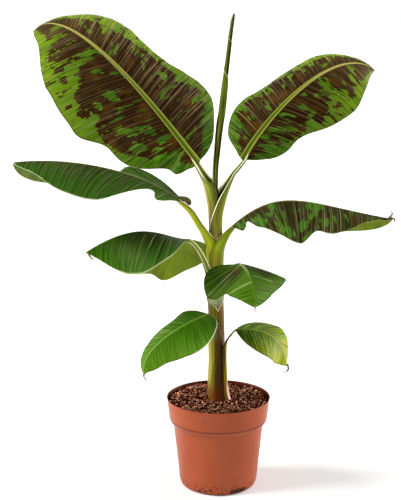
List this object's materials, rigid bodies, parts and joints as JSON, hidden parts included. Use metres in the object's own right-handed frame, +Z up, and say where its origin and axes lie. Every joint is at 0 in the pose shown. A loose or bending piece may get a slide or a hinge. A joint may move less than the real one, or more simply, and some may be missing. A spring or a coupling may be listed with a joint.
{
  "type": "potted banana plant",
  "caption": "Young banana plant with broad arching leaves and one rolled leaf, in a tapered round nursery pot filled with soil.",
  "frame": {"origin": "middle of the pot's flat underside, where it meets the floor", "axes": "+Z up along the pot's axis and the stem, +X to the right and -Y towards the front, as the plant is seen in the picture"},
  "size_m": [0.5801, 0.3656, 0.759],
  "materials": {
    "pot_plastic": "satin terracotta-coloured thin plastic",
    "potting_soil": "loose fibrous peat, matt",
    "stem_green": "satin leaf sheaths, olive green with purple-brown streaks",
    "rolled_leaf": "satin young leaf, green with brown edges",
    "stalk_green": "satin yellow-green leaf stalk",
    "leaf_blotched": "satin leaf, green with large maroon-brown blotches along its veins",
    "leaf_green": "satin green leaf with fine pale veins",
    "leaf_yellowed": "satin ageing leaf, yellow-green with dry cream streaks and brown edges"
  },
  "bodies": {
    "root": {"pot": "pot_plastic", "soil": "potting_soil", "stem": "stem_green", "leaf_spear": "rolled_leaf", "stalk_upper_left": "stalk_green", "leaf_upper_left": "leaf_blotched", "stalk_upper_right": "stalk_green", "leaf_upper_right": "leaf_blotched", "stalk_middle_left": "stalk_green", "leaf_middle_left": "leaf_blotched", "stalk_middle_right": "stalk_green", "leaf_middle_right": "leaf_blotched", "stalk_lower_left": "stalk_green", "leaf_lower_left": "leaf_green", "stalk_front": "stalk_green", "leaf_front": "leaf_green", "stalk_foot_left": "stalk_green", "leaf_foot_left": "leaf_green", "stalk_foot_right": "stalk_green", "leaf_foot_right": "leaf_yellowed"}
  },
  "joints": []
}
